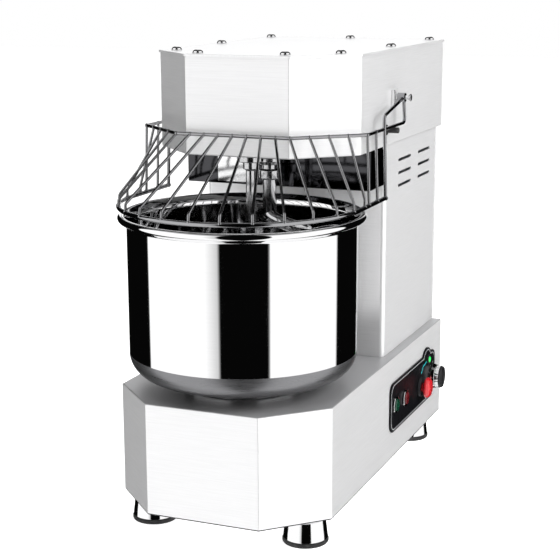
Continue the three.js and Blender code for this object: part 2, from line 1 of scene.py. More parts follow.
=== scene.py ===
"""Spiral dough mixer: folded stainless housings, a polished bowl, a welded wire guard, the spiral
hook and the controls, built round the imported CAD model.

Shapes are in millimetres in the frame of that model: +Z up, the front faces -Y and the controls
are on the +X side. Each piece is scaled to metres when it is added.
"""

import math

import bmesh
import bpy
from mathutils import Matrix, Vector


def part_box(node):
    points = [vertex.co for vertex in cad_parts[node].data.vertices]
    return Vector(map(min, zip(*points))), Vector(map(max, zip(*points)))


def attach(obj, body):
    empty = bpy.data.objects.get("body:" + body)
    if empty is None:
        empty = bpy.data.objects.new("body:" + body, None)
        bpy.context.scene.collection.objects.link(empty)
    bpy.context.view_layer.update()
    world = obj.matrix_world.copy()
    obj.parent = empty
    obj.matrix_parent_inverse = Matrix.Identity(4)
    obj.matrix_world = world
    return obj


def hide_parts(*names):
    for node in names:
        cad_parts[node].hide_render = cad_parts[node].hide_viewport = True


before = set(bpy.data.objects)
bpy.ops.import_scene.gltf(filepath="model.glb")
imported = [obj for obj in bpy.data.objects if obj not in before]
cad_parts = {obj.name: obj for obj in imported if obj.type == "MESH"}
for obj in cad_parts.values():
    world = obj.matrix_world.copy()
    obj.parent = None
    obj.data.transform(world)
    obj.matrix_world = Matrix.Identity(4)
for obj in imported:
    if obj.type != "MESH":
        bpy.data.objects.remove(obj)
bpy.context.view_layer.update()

MM = 0.001
SHEET = 2.0  # thickness of the stainless sheet
CHAMFER = 91.0  # the cut front corners of the base and of the head
FOLD = 3.0  # outer radius where the sheet is folded
COLUMN_FOLD = 9.0
HEM = 1.8  # radius of the rolled lower edge of the base
OVERCUT = 5.0  # how far a cutting tool reaches past what it cuts
SIDES = (("left", -1), ("right", 1))
CORNERS = ("front_left", "front_right", "rear_left", "rear_right")


# ---- Places in the CAD frame, in millimetres. ----


def corners(node):
    low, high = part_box(node)
    return low / MM, high / MM


def middle(node):
    low, high = corners(node)
    return (low + high) / 2


BASE = corners("base_housing")
HEAD = corners("head_housing")
LID = corners("head_lid")
COLUMN = corners("column_housing")
NECK = corners("neck_cover")
BOWL = corners("bowl")
BOWL_AT = middle("bowl")
HOOK_AT = middle("hook_bearing")
BREAKER_AT = middle("breaker_bar")
MOTOR_AT = middle("motor_body")
REAR = BASE[1].y


# ---- Outlines: rounded corners and arcs. ----


def rounded(points, radius, steps=4, closed=False):
    """The points with an arc of that radius, or of one radius each, at every corner."""
    points = [Vector(p) for p in points]
    count = len(points)
    radii = radius if isinstance(radius, (list, tuple)) else [radius] * count
    out = []
    for i, (corner, r) in enumerate(zip(points, radii)):
        if r <= 0 or (not closed and i in (0, count - 1)):
            out.append(corner)
            continue
        back = points[i - 1] - corner
        ahead = points[(i + 1) % count] - corner
        opening = back.angle(ahead)
        if opening > math.pi - 0.01:
            out.append(corner)
            continue
        reach = min(r / math.tan(opening / 2), 0.49 * back.length, 0.49 * ahead.length)
        r = reach * math.tan(opening / 2)
        back.normalize()
        ahead.normalize()
        centre = corner + (back + ahead).normalized() * r / math.sin(opening / 2)
        start = corner + back * reach - centre
        end = corner + ahead * reach - centre
        sweep = math.pi - opening
        for k in range(steps + 1):
            part = k / steps
            spoke = start * math.sin((1 - part) * sweep) + end * math.sin(part * sweep)
            out.append(centre + spoke / math.sin(sweep))
    return out


def arc(centre, radius, start, end, steps):
    """Points of a circle round a 2D centre, from one angle to another, in degrees."""
    angles = [math.radians(start + (end - start) * k / steps) for k in range(steps + 1)]
    return [(centre[0] + radius * math.cos(a), centre[1] + radius * math.sin(a)) for a in angles]


# ---- Solids as bmesh, in millimetres. ----


def loft(loops, capped=True):
    """A skin through loops of 3D points, closed at both ends, or joined last to first."""
    shape = bmesh.new()
    rings = []
    for loop in loops:
        if len(loop) == 1:
            rings.append([shape.verts.new(loop[0])])
        else:
            rings.append([shape.verts.new(p) for p in loop])
    pairs = list(zip(rings, rings[1:])) + ([] if capped else [(rings[-1], rings[0])])
    for low, high in pairs:
        count = max(len(low), len(high))
        for i in range(count):
            j = (i + 1) % count
            if len(low) == 1:
                shape.faces.new((low[0], high[j], high[i]))
            elif len(high) == 1:
                shape.faces.new((low[i], low[j], high[0]))
            else:
                shape.faces.new((low[i], low[j], high[j], high[i]))
    if capped:
        for ring in (rings[0], rings[-1]):
            if len(ring) > 2:
                shape.faces.new(ring)
    bmesh.ops.recalc_face_normals(shape, faces=shape.faces)
    return shape


def lathe(profile, at=(0, 0, 0), steps=64):
    """A piece turned about +Z from (radius, height) points: a ring, unless it ends on the axis."""
    x, y, z = at
    turns = [2 * math.pi * k / steps for k in range(steps)]
    loops = []
    for radius, height in profile:
        top = z + height
        if radius < 1e-6:
            loops.append([(x, y, top)])
            continue
        loops.append([(x + radius * math.cos(t), y + radius * math.sin(t), top) for t in turns])
    on_axis = profile[0][0] < 1e-6 or profile[-1][0] < 1e-6
    return loft(loops, capped=on_axis)


def disc(radius, low, high, at=(0, 0), steps=48):
    return lathe([(0, low), (radius, low), (radius, high), (0, high)], (*at, 0), steps)


def sweep(path, radius, sides=12, closed=False):
    """A round rod along 3D points. Its ends are domed, and its radius may change along it."""
    path = [Vector(p) for p in path]
    count = len(path)
    radii = radius if isinstance(radius, list) else [radius] * count
    tangents = []
    for i in range(count):
        ahead = path[(i + 1) % count] if closed or i + 1 < count else path[i]
        back = path[i - 1] if closed or i > 0 else path[i]
        tangents.append((ahead - back).normalized())
    across = tangents[0].orthogonal().normalized()
    loops = []
    for place, tangent, r in zip(path, tangents, radii):
        across = (across - tangent * across.dot(tangent)).normalized()
        up = tangent.cross(across)
        turns = [2 * math.pi * k / sides for k in range(sides)]
        loops.append([place + (across * math.cos(t) + up * math.sin(t)) * r for t in turns])
    if closed:
        return loft(loops, capped=False)

    def dome(loop, place, outwards, r):
        rings = []
        for share in (0.5, 0.866):
            flat = math.sqrt(1 - share * share)
            rings.append([place + (p - place) * flat + outwards * r * share for p in loop])
        return rings + [[place + outwards * r]]

    first = dome(loops[0], path[0], -tangents[0], radii[0])
    last = dome(loops[-1], path[-1], tangents[-1], radii[-1])
    return loft(first[::-1] + loops + last)


def extrude(outline, low, high, edge=0.0):
    """A plate of a 2D outline between two heights, with its upper and lower edges broken."""
    outline = [Vector(p) for p in outline]
    count = len(outline)
    levels = [(0, low), (0, high)]
    if edge > 0:
        levels = [(edge, low), (0.3 * edge, low + 0.3 * edge), (0, low + edge)]
        levels += [(0, high - edge), (0.3 * edge, high - 0.3 * edge), (edge, high)]
    area = sum(outline[i - 1].cross(outline[i]) for i in range(count))
    side = 1 if area > 0 else -1
    inwards = []
    for i in range(count):
        run = (outline[(i + 1) % count] - outline[i - 1]).normalized()
        inwards.append(Vector((-run.y, run.x)) * side)
    loops = []
    for inset, z in levels:
        loops.append([(*(p + n * inset), z) for p, n in zip(outline, inwards)])
    return loft(loops)


def box(low, high, edge=0.0):
    low = Vector(low)
    high = Vector(high)
    plan = [(low.x, low.y), (high.x, low.y), (high.x, high.y), (low.x, high.y)]
    if edge > 0:
        plan = rounded(plan, edge, steps=3, closed=True)
    return extrude(plan, low.z, high.z, edge * 0.5)


def joined(*shapes):
    total = bmesh.new()
    for shape in shapes:
        mesh = bpy.data.meshes.new("part")
        shape.to_mesh(mesh)
        total.from_mesh(mesh)
        bpy.data.meshes.remove(mesh)
    return total


def moved(shape, matrix):
    shape.transform(matrix)
    return shape


def sideways(shape, at, sign=1):
    """Turns a piece built about +Z until its axis points to +X or -X, and puts it in place."""
    turn = Matrix.Rotation(sign * math.pi / 2, 4, "Y")
    return moved(shape, Matrix.Translation(at) @ turn)


def tipped(shape, at, degrees):
    """Turns a piece built about +Z round the X axis, and puts it in place."""
    turn = Matrix.Rotation(math.radians(degrees), 4, "X")
    return moved(shape, Matrix.Translation(at) @ turn)


def on_wall(shape):
    """Stands a piece built flat (its X to the rear, its Y up) against the right wall."""
    return moved(shape, Matrix(((0, 0, 1, 0), (1, 0, 0, 0), (0, 1, 0, 0), (0, 0, 0, 1))))


def holder(shape):
    mesh = bpy.data.meshes.new("part")
    shape.to_mesh(mesh)
    obj = bpy.data.objects.new("part", mesh)
    bpy.context.scene.collection.objects.link(obj)
    return obj


def carved(shape, *tools):
    """The shape with the tools cut out of it."""
    body = holder(shape)
    cutters = [holder(tool) for tool in tools]
    for cutter in cutters:
        step = body.modifiers.new("cut", "BOOLEAN")
        step.solver = "EXACT"
        step.operation = "DIFFERENCE"
        step.object = cutter
    graph = bpy.context.evaluated_depsgraph_get()
    mesh = bpy.data.meshes.new_from_object(body.evaluated_get(graph))
    result = bmesh.new()
    result.from_mesh(mesh)
    for obj in [body, *cutters]:
        bpy.data.meshes.remove(obj.data)
    bpy.data.meshes.remove(mesh)
    return result


def add(name, shape, look, body, *stands_for, slot=None, sharp=38, weighted=True):
    """Puts a finished piece in the scene, on its body, in place of its CAD nodes."""
    limit = math.radians(sharp)
    for edge in shape.edges:
        edge.smooth = len(edge.link_faces) == 2 and edge.calc_face_angle(0) < limit
    for face in shape.faces:
        face.smooth = True
    shape.transform(Matrix.Scale(MM, 4))
    mesh = bpy.data.meshes.new(name)
    shape.to_mesh(mesh)
    shape.free()
    mesh.materials.append(look)
    obj = bpy.data.objects.new(name, mesh)
    bpy.context.scene.collection.objects.link(obj)
    if weighted:
        normals = obj.modifiers.new("normals", "WEIGHTED_NORMAL")
        normals.keep_sharp = True
        normals.weight = 80
    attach(obj, body)
    if stands_for:
        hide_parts(*stands_for)
    return obj


# ---- Materials. ----


class Look:
    """A Principled material with helpers for the texture that varies it."""

    def __init__(self, name, color, metallic=0.0, roughness=0.5, **sockets):
        self.material = bpy.data.materials.new(name)
        self.material.use_nodes = True
        self.tree = self.material.node_tree
        self.shader = self.tree.nodes["Principled BSDF"]
        self.shader.inputs["Base Color"].default_value = (*color, 1)
        self.shader.inputs["Metallic"].default_value = metallic
        self.shader.inputs["Roughness"].default_value = roughness
        for socket, value in sockets.items():
            self.shader.inputs[socket.replace("_", " ")].default_value = value
        self.coords = self.tree.nodes.new("ShaderNodeTexCoord").outputs["Object"]
        self.normal = None

    def noise(self, scale, stretch=(1, 1, 1), detail=3.0):
        """Noise of so many cells per metre, stretched along the axes with small factors."""
        mapping = self.tree.nodes.new("ShaderNodeMapping")
        mapping.inputs["Scale"].default_value = stretch
        texture = self.tree.nodes.new("ShaderNodeTexNoise")
        texture.inputs["Scale"].default_value = scale
        texture.inputs["Detail"].default_value = detail
        self.tree.links.new(self.coords, mapping.inputs["Vector"])
        self.tree.links.new(mapping.outputs["Vector"], texture.inputs["Vector"])
        return texture.outputs["Fac"]

    def spread(self, value, low, high, start=0.3, end=0.7):
        node = self.tree.nodes.new("ShaderNodeMapRange")
        node.inputs["From Min"].default_value = start
        node.inputs["From Max"].default_value = end
        node.inputs["To Min"].default_value = low
        node.inputs["To Max"].default_value = high
        self.tree.links.new(value, node.inputs["Value"])
        return node.outputs["Result"]

    def vary_roughness(self, value, low, high):
        self.tree.links.new(self.spread(value, low, high), self.shader.inputs["Roughness"])

    def vary_color(self, value, dark, light, start=0.3, end=0.7):
        mix = self.tree.nodes.new("ShaderNodeMix")
        mix.data_type = "RGBA"
        mix.inputs["A"].default_value = (*dark, 1)
        mix.inputs["B"].default_value = (*light, 1)
        self.tree.links.new(self.spread(value, 0, 1, start, end), mix.inputs["Factor"])
        self.tree.links.new(mix.outputs["Result"], self.shader.inputs["Base Color"])

    def bump(self, value, height):
        """Relief of that height in millimetres, on top of what is there already."""
        node = self.tree.nodes.new("ShaderNodeBump")
        node.inputs["Strength"].default_value = 1.0
        node.inputs["Distance"].default_value = height * MM
        self.tree.links.new(value, node.inputs["Height"])
        if self.normal is not None:
            self.tree.links.new(self.normal, node.inputs["Normal"])
        self.normal = node.outputs["Normal"]
        self.tree.links.new(self.normal, self.shader.inputs["Normal"])


def brushed(name, color, stretch, roughness, metallic=0.6):
    """Stainless sheet with fine brush lines, long along the axes with small stretch factors."""
    look = Look(name, color, metallic=metallic, roughness=roughness)
    lines = look.noise(900, stretch, detail=6)
    clouds = look.noise(5, detail=2)
    dark = tuple(c * 0.93 for c in color)
    look.vary_color(lines, dark, color)
    look.vary_roughness(lines, roughness - 0.05, roughness + 0.07)
    look.bump(clouds, 0.5)
    look.bump(lines, 0.012)
    return look.material


def polished(name, color, stretch, roughness=0.05):
    """Mirror-polished stainless, with faint polishing lines and smudges of varying roughness."""
    look = Look(name, color, metallic=1.0, roughness=roughness)
    lines = look.noise(700, stretch, detail=5)
    smudges = look.noise(14, detail=4)
    look.vary_roughness(smudges, roughness * 0.6, roughness * 1.8)
    look.vary_color(lines, tuple(c * 0.97 for c in color), color)
    look.bump(lines, 0.002)
    return look.material


def plastic(name, color, roughness, grain=0.01, **sockets):
    """Moulded plastic with a fine spark-eroded grain."""
    look = Look(name, color, roughness=roughness, **sockets)
    fine = look.noise(2600, detail=2)
    patches = look.noise(60, detail=4)
    look.vary_roughness(patches, roughness * 0.8, roughness * 1.25)
    look.vary_color(patches, tuple(c * 0.88 for c in color), color)
    look.bump(fine, grain)
    return look.material


def rubber():
    """Black rubber, matt, with a little dust in its grain."""
    look = Look("rubber", (0.02, 0.02, 0.021), roughness=0.75)
    grain = look.noise(1500, detail=4)
    dust = look.noise(90, detail=6)
    look.vary_color(dust, (0.014, 0.014, 0.015), (0.06, 0.06, 0.058), 0.45, 0.8)
    look.vary_roughness(dust, 0.62, 0.9)
    look.bump(grain, 0.05)
    return look.material


def cast_iron():
    """Blackened iron with a fine cast skin."""
    look = Look("cast_iron", (0.22, 0.23, 0.24), metallic=0.9, roughness=0.5)
    skin = look.noise(700, detail=8)
    look.vary_color(look.noise(40, detail=5), (0.16, 0.165, 0.175), (0.32, 0.33, 0.34))
    look.vary_roughness(skin, 0.4, 0.65)
    look.bump(skin, 0.08)
    return look.material


def enamel():
    """Satin enamel on the motor, with slight orange peel."""
    look = Look("enamel", (0.06, 0.15, 0.27), roughness=0.35, Coat_Weight=0.4, Coat_Roughness=0.2)
    peel = look.noise(350, detail=2)
    look.vary_color(look.noise(30, detail=4), (0.045, 0.12, 0.22), (0.07, 0.17, 0.3))
    look.bump(peel, 0.03)
    return look.material


def gloss(name, color, glow=0.0):
    """Glossy coloured plastic of a cap or a lens."""
    look = Look(name, color, roughness=0.18, Coat_Weight=0.6, Coat_Roughness=0.05)
    patches = look.noise(120, detail=3)
    look.vary_roughness(patches, 0.14, 0.26)
    look.vary_color(patches, tuple(c * 0.85 for c in color), color)
    if glow:
        look.shader.inputs["Emission Color"].default_value = (*color, 1)
        look.shader.inputs["Emission Strength"].default_value = glow
    look.bump(look.noise(900, detail=2), 0.004)
    return look.material


WALL_STEEL = brushed("wall_steel", (0.88, 0.88, 0.885), (0.02, 0.02, 1), 0.36)
TOP_STEEL = brushed("top_steel", (0.88, 0.88, 0.885), (1, 0.02, 0.02), 0.34)
# Painted shade: a darker copy of the wall steel for the upward deck faces of the base.
DECK_PAINTED_SHADE = brushed("deck_steel_painted_shade", (0.52, 0.52, 0.53), (1, 0.02, 0.02), 0.42, 0.6)
# Satin finish with painted shade: a rougher, much darker copy of the steel for the downward faces
# of the bowl's lower corner.
SATIN_AND_SHADE_STEEL = brushed("satin_steel_and_painted_shade", (0.26, 0.26, 0.27), (0.02, 0.02, 1), 0.30, 0.9)
BOWL_STEEL = polished("bowl_steel", (0.93, 0.93, 0.935), (0.01, 0.01, 1), 0.03)
MIRROR_STEEL = polished("mirror_steel", (0.92, 0.92, 0.925), (0.03, 0.03, 1), 0.06)
ROD_STEEL = polished("rod_steel", (0.38, 0.38, 0.39), (0.3, 0.3, 0.3), 0.10)
# Painted shade: near-black steel for the rolled lower edge of the base and for the neck cover
# under the head.
BLACK_PAINTED_SHADE = polished("steel_black_painted_shade", (0.07, 0.07, 0.075), (0.03, 0.03, 1), 0.05)
TURNED_STEEL = polished("turned_steel", (0.66, 0.66, 0.67), (0.05, 0.05, 1), 0.10)
BLACK_PLASTIC = plastic("black_plastic", (0.018, 0.018, 0.02), 0.34)
PANEL_BLACK = plastic("panel_black", (0.004, 0.004, 0.005), 0.36, 0.004, Specular_IOR_Level=0.2)
GREY_PLASTIC = plastic("grey_plastic", (0.55, 0.56, 0.57), 0.45)
PRINT_SILVER = plastic("print_silver", (0.42, 0.43, 0.44), 0.4)
# Painted highlight: teal colour for a curved stripe on the panel, a glint drawn as a mark.
TEAL_HIGHLIGHT_PAINT = plastic("teal_painted_highlight", (0.01, 0.30, 0.33), 0.35)
RED_GLOSS = gloss("red_gloss", (0.46, 0.014, 0.02))
GREEN_GLOSS = gloss("green_gloss", (0.004, 0.04, 0.02))
STOP_GLOSS = gloss("stop_gloss", (0.09, 0.006, 0.008))
LAMP_GREEN = gloss("lamp_green", (0.02, 0.55, 0.10), 0.35)
RUBBER = rubber()
CAST_IRON = cast_iron()
ENAMEL = enamel()


# ---- Housings. ----

SPINDLE_HOLE = 22.0
SHAFT_HOLE = 40.0
GLAND_HOLE = 11.0
CONTROL_HOLES = {
    "start_button": 13, "stop_button": 13, "estop_collar": 9, "pilot_lamp": 9.5, "timer_skirt": 7,
}
VENT_LENGTH = 77
VENT_RADIUS = 2.75
VENTS = [(row, start) for row in (587, 563.5, 540.5) for start in (129, 250)]
COVER_SLOTS = [303 + 24 * row for row in range(5)]
COVER_SLOT_HALF = 70
LIP = 1.6  # thickness of the lid's folded lips
NECK_PLATE = (-112, -46)  # sides of the polished plate on the front of the neck cover
SOCKET = 0.38  # a screw's hexagon socket as a share of its head


def octagon(low, high, chamfer, grow=0.0):
    """Plan of a housing with two cut front corners, grown outwards, its folds rounded."""
    cut = chamfer + grow * (2 - math.sqrt(2))
    left = low.x - grow
    right = high.x + grow
    front = low.y - grow
    rear = high.y + grow
    plan = [
        (left, rear), (left, front + cut), (left + cut, front),
        (right - cut, front), (right, front + cut), (right, rear),
    ]
    return rounded(plan, max(FOLD + grow, 0.6), closed=True)


def rectangle(low, high, grow=0.0, fold=FOLD):
    plan = [
        (low.x - grow, high.y + grow), (low.x - grow, low.y - grow),
        (high.x + grow, low.y - grow), (high.x + grow, high.y + grow),
    ]
    return rounded(plan, max(fold + grow, 0.6), closed=True)


def upper_edge(top, radius=2.5, steps=4):
    """Levels of a rounded edge: how far the plan shrinks, and the height."""
    turns = [math.pi / 2 * k / steps for k in range(steps + 1)]
    return [(-radius * (1 - math.cos(t)), top - radius * (1 - math.sin(t))) for t in turns]


def lower_edge(bottom, radius=2.5, steps=4):
    return [(grow, 2 * bottom - z) for grow, z in reversed(upper_edge(bottom, radius, steps))]


def levelled(plan, levels):
    """A closed solid through a plan that grows or shrinks from level to level."""
    return loft([[(x, y, z) for x, y in plan(grow)] for grow, z in levels])


def slot_outline(start, end, height, radius):
    """A long slot with round ends, which reach from start to end."""
    outline = arc((end - radius, height), radius, -90, 90, 6)
    return outline + arc((start + radius, height), radius, 90, 270, 6)


def hexagon(radius):
    turns = [k * math.pi / 3 for k in range(6)]
    return [(radius * math.cos(t), radius * math.sin(t)) for t in turns]


def button_head(radius, height):
    """A domed screw head with a hexagon socket, standing on its seat at height 0."""
    dome = [(radius * math.cos(t), height * math.sin(t)) for t in (0, 0.35, 0.7, 1.0, 1.25)]
    head = lathe([(0, 0), (radius, 0), *dome, (0, height)], steps=32)
    return carved(head, extrude(hexagon(radius * SOCKET), height * 0.4, height * 2))


def base_housing():
    low, high = BASE
    plan = lambda g: octagon(low, high, CHAMFER, g)
    hem_to = low.z + 1.4 * HEM
    outer = levelled(plan, [*lower_edge(low.z, HEM), (0, hem_to), *upper_edge(high.z)])
    inner = levelled(plan, [(-SHEET, low.z - OVERCUT), (-SHEET, high.z - SHEET)])
    reach = 2 * OVERCUT
    holes = [
        disc(SPINDLE_HOLE, high.z - reach, high.z + reach, (BOWL_AT.x, BOWL_AT.y)),
        disc(SHAFT_HOLE, high.z - reach, high.z + reach, (MOTOR_AT.x, MOTOR_AT.y)),
    ]
    for node, radius in CONTROL_HOLES.items():
        at = middle(node)
        at.x = high.x - reach
        holes.append(sideways(disc(radius, 0, 2 * reach, steps=24), at))
    gland = middle("cable_gland")
    gland.y = high.y + reach
    bore = tipped(disc(GLAND_HOLE, 0, 2 * reach, steps=24), gland, 90)
    shell = carved(outer, inner, bore, *holes)
    obj = add("base_shell", shell, WALL_STEEL, "chassis", "base_housing", slot="steel")
    # Painted shade: the upward deck faces take the darker copy of the wall steel.
    obj.data.materials.append(DECK_PAINTED_SHADE)
    # Painted shade: the rolled lower edge of the base takes near-black steel, a painted dark line
    # along the bottom.
    obj.data.materials.append(BLACK_PAINTED_SHADE)
    deck_from = high.z - 1.2
    for polygon in obj.data.polygons:
        height = polygon.center.z / MM
        if polygon.normal.z > 0.8 and height > deck_from:
            polygon.material_index = 1
        elif height < hem_to:
            polygon.material_index = 2


def column_housing():
    low, high = COLUMN
    plan = lambda g: rectangle(low, high, g, COLUMN_FOLD)
    outer = levelled(plan, [(0, low.z), (0, high.z)])
    inner = levelled(plan, [(-SHEET, low.z - OVERCUT), (-SHEET, high.z + OVERCUT)])
    margin = Vector((14, 0, 0))  # what is left of the rear wall on each side
    past = Vector((0, OVERCUT, OVERCUT))
    rear_low = Vector((low.x, high.y, low.z))
    opening = box(rear_low + margin - past, high - margin + past)
    slots = []
    for row, start in VENTS:
        outline = slot_outline(start, start + VENT_LENGTH, row, VENT_RADIUS)
        for x in (low.x, high.x):
            slots.append(on_wall(extrude(outline, x - OVERCUT, x + OVERCUT)))
    shell = carved(outer, inner, opening, *slots)
    add("column_shell", shell, WALL_STEEL, "chassis", "column_housing", slot="steel")


def rear_cover():
    low, high = corners("column_rear_cover")
    plate = box(low, high, 0.6)
    slots = []
    for height in COVER_SLOTS:
        outline = slot_outline(-COVER_SLOT_HALF, COVER_SLOT_HALF, height, 3)
        slots.append(tipped(extrude(outline, -high.y - OVERCUT, OVERCUT - low.y), (0, 0, 0), 90))
    plate = carved(plate, *slots)
    add("rear_cover_plate", plate, WALL_STEEL, "chassis", "column_rear_cover", slot="steel")
    for side, x in (("left", low.x + 12), ("right", high.x - 12)):
        for i, z in enumerate((low.z + 14, (low.z + high.z) / 2, high.z - 14)):
            screw = tipped(button_head(4.5, 2.6), (x, high.y, z), -90)
            add(f"rear_screw_{side}_{i + 1}", screw, TURNED_STEEL, "chassis", slot="polished")


def neck_cover():
    low, high = NECK
    plan = lambda g: rectangle(low, high, g)
    outer = levelled(plan, [*lower_edge(low.z, 2), *upper_edge(high.z, 1)])
    wall = Vector((SHEET, SHEET, SHEET))
    inner = box(low + wall, (high.x - SHEET, high.y + OVERCUT, high.z - SHEET))
    # Painted shade: the neck cover under the head is near-black steel.
    add("neck_box", carved(outer, inner), BLACK_PAINTED_SHADE, "chassis", "neck_cover", slot="polished")
    left, right = NECK_PLATE
    plate = box((left, low.y - 1.5, low.z + 4), (right, low.y, high.z - 8), 0.6)
    add("neck_plate", plate, MIRROR_STEEL, "chassis", slot="polished")


def head_housing():
    low, high = HEAD
    plan = lambda g: octagon(low, high, CHAMFER, g)
    outer = levelled(plan, [*lower_edge(low.z), (0, high.z)])
    inner = levelled(plan, [(-SHEET, low.z + SHEET), (-SHEET, high.z + OVERCUT)])
    holes = [
        disc(25, low.z - OVERCUT, low.z + OVERCUT, (HOOK_AT.x, HOOK_AT.y)),
        disc(SHAFT_HOLE, low.z - OVERCUT, low.z + OVERCUT, (MOTOR_AT.x, MOTOR_AT.y)),
    ]
    shell = carved(outer, inner, *holes)
    add("head_shell", shell, WALL_STEEL, "chassis", "head_housing", slot="steel")


def head_lid():
    """The lid: a flat sheet with short folded lips, open where two lips meet at a front corner."""
    low, high = LID
    plan = lambda g: octagon(low, high, CHAMFER, g)
    outer = levelled(plan, [(0, low.z), *upper_edge(high.z, 1.4)])
    inner = levelled(plan, [(-LIP, low.z - OVERCUT), (-LIP, high.z - SHEET)])
    notches = []
    for x in (low.x + CHAMFER, high.x - CHAMFER):
        notches.append(disc(1.3, low.z - OVERCUT, high.z - 0.6, (x, low.y + 0.4), 16))
    lid = carved(outer, inner, *notches)
    add("lid_sheet", lid, TOP_STEEL, "chassis", "head_lid", slot="steel")


def lid_screws():
    """Domed cap screws: a flange, a short neck and a round head."""
    turns = [0.12 * k for k in range(1, 13)]
    profile = [(0, 0), (9, 0), (9, 0.9), (8.6, 1.3)]
    profile += [(8.6 * math.cos(t), 1.3 + 5.4 * math.sin(t)) for t in turns]
    for i in range(1, 10):
        low, high = corners(f"lid_screw_{i}")
        at = ((low.x + high.x) / 2, (low.y + high.y) / 2, low.z)
        head = lathe([*profile, (0, 6.7)], at, 32)
        add(f"lid_cap_{i}", head, MIRROR_STEEL, "chassis", f"lid_screw_{i}", slot="polished")


# ---- Feet. ----


def feet():
    for corner in CORNERS:
        low, high = corners(f"foot_cup_{corner}")
        x, y = (low.x + high.x) / 2, (low.y + high.y) / 2
        top = high.z - low.z
        cup = rounded([
            (0, 0), (37.5, 0), (36.6, 9), (33.7, 33), (30.7, 36.1), (14, 36.1), (14, top - 2),
            (12, top), (0, top),
        ], [0, 1.2, 3, 4, 2, 1, 1, 1, 0], 3)
        skin = lathe(cup, (x, y, low.z), 72)
        add(f"cup_{corner}", skin, MIRROR_STEEL, "chassis", f"foot_cup_{corner}", slot="polished")
        low, high = corners(f"foot_pad_{corner}")
        height = high.z - low.z
        pad = rounded([
            (0, 0), (37.2, 0), (38.6, 2), (38.6, height), (0, height),
        ], [0, 0.8, 1.2, 1.5, 0], 3)
        skin = lathe(pad, (x, y, low.z), 72)
        add(f"pad_{corner}", skin, RUBBER, "chassis", f"foot_pad_{corner}", slot="rubber")


# ---- Bowl. ----


def bowl():
    """A spun bowl: a dished floor, a round lower corner, a step under the rim and a rolled rim."""
    low, high = BOWL
    bottom = low.z
    rim = high.z
    outer = high.x - BOWL_AT.x
    wall, corner = 192, 42
    corner_z = 300
    thick = 2.5
    roll = 6.0
    outside = [(0, bottom), (94, bottom), (99, bottom + 0.4)]
    outside += arc((wall - corner, corner_z), corner, -86, 0, 14)
    step = [(wall, rim - 18.5), (wall, rim - 17.5), (wall + 1.0, rim - 16.6)]
    step += [(wall + 4.6, rim - 14.9), (wall + 7.4, rim - 12.2)]
    curl = arc((outer - roll, rim - roll), roll, -70, 160, 14)
    inside = [(wall - thick, rim - 10), (wall - thick, rim - 20)]
    inside += arc((wall - corner, corner_z), corner - thick, 0, -86, 14)
    inside += [(98, bottom + thick + 0.4), (0, bottom + thick)]
    shape = lathe([*outside, *step, *curl, *inside], (BOWL_AT.x, BOWL_AT.y, 0), 192)
    obj = add(
        "bowl_shell", shape, BOWL_STEEL, "bowl", "bowl", slot="polished", sharp=50, weighted=False
    )
    # Satin finish with painted shade: the downward faces of the lower corner take a rougher, much
    # darker copy of the bowl steel.
    obj.data.materials.append(SATIN_AND_SHADE_STEEL)
    satin_and_shade_to = (corner_z - 2) * MM
    for polygon in obj.data.polygons:
        if polygon.center.z < satin_and_shade_to and polygon.normal.z < 0:
            polygon.material_index = 1


def turntable():
    low, high = corners("bowl_turntable")
    radius = high.x - BOWL_AT.x
    plate = 7.8
    profile = rounded([
        (0, low.z), (18, low.z), (18, high.z - plate), (radius, high.z - plate), (radius, high.z),
        (0, high.z),
    ], [0, 1, 0, 1.2, 1.2, 0], 3)
    shape = lathe(profile, (BOWL_AT.x, BOWL_AT.y, 0), 128)
    add("turntable_disc", shape, BOWL_STEEL, "bowl", "bowl_turntable", slot="polished")


# ---- Hook and breaker bar. ----


def smoothstep(value, start, end):
    part = min(max((value - start) / (end - start), 0), 1)
    return part * part * (3 - 2 * part)


def spiral_hook():
    """The coil hangs from the shaft: it swings out, turns once and a third, and tucks in."""
    low, high = corners("spiral_hook")
    x, y = HOOK_AT.x, HOOK_AT.y
    shaft, rod, reach, turns = 12, 11, 66, 1.35
    top = 516
    end = low.z + rod
    path = []
    radii = []
    steps = 150
    for k in range(steps + 1):
        t = k / steps
        radius = reach * smoothstep(t, 0, 0.16) - 14 * smoothstep(t, 0.8, 1)
        angle = -0.9 + 2 * math.pi * turns * t
        height = top + (end - top) * t
        path.append((x + radius * math.cos(angle), y + radius * math.sin(angle), height))
        radii.append(rod - 2.5 * smoothstep(t, 0.9, 1))
    coil = sweep(path, radii, 20)
    profile = rounded([
        (0, top - 12), (shaft, top - 12), (shaft, 572), (18, 574), (18, 588), (shaft, 590),
        (shaft, high.z), (0, high.z),
    ], [0, 5, 1, 1.5, 1.5, 1, 1, 0], 4)
    body = lathe(profile, (x, y, 0), 48)
    add("hook_coil", joined(coil, body), TURNED_STEEL, "hook", "spiral_hook", slot="polished")
    set_screw = sideways(button_head(3.6, 2.2), (x + 17.6, y, 581))
    add("hook_set_screw", set_screw, BLACK_PLASTIC, "hook", slot="black_plastic")


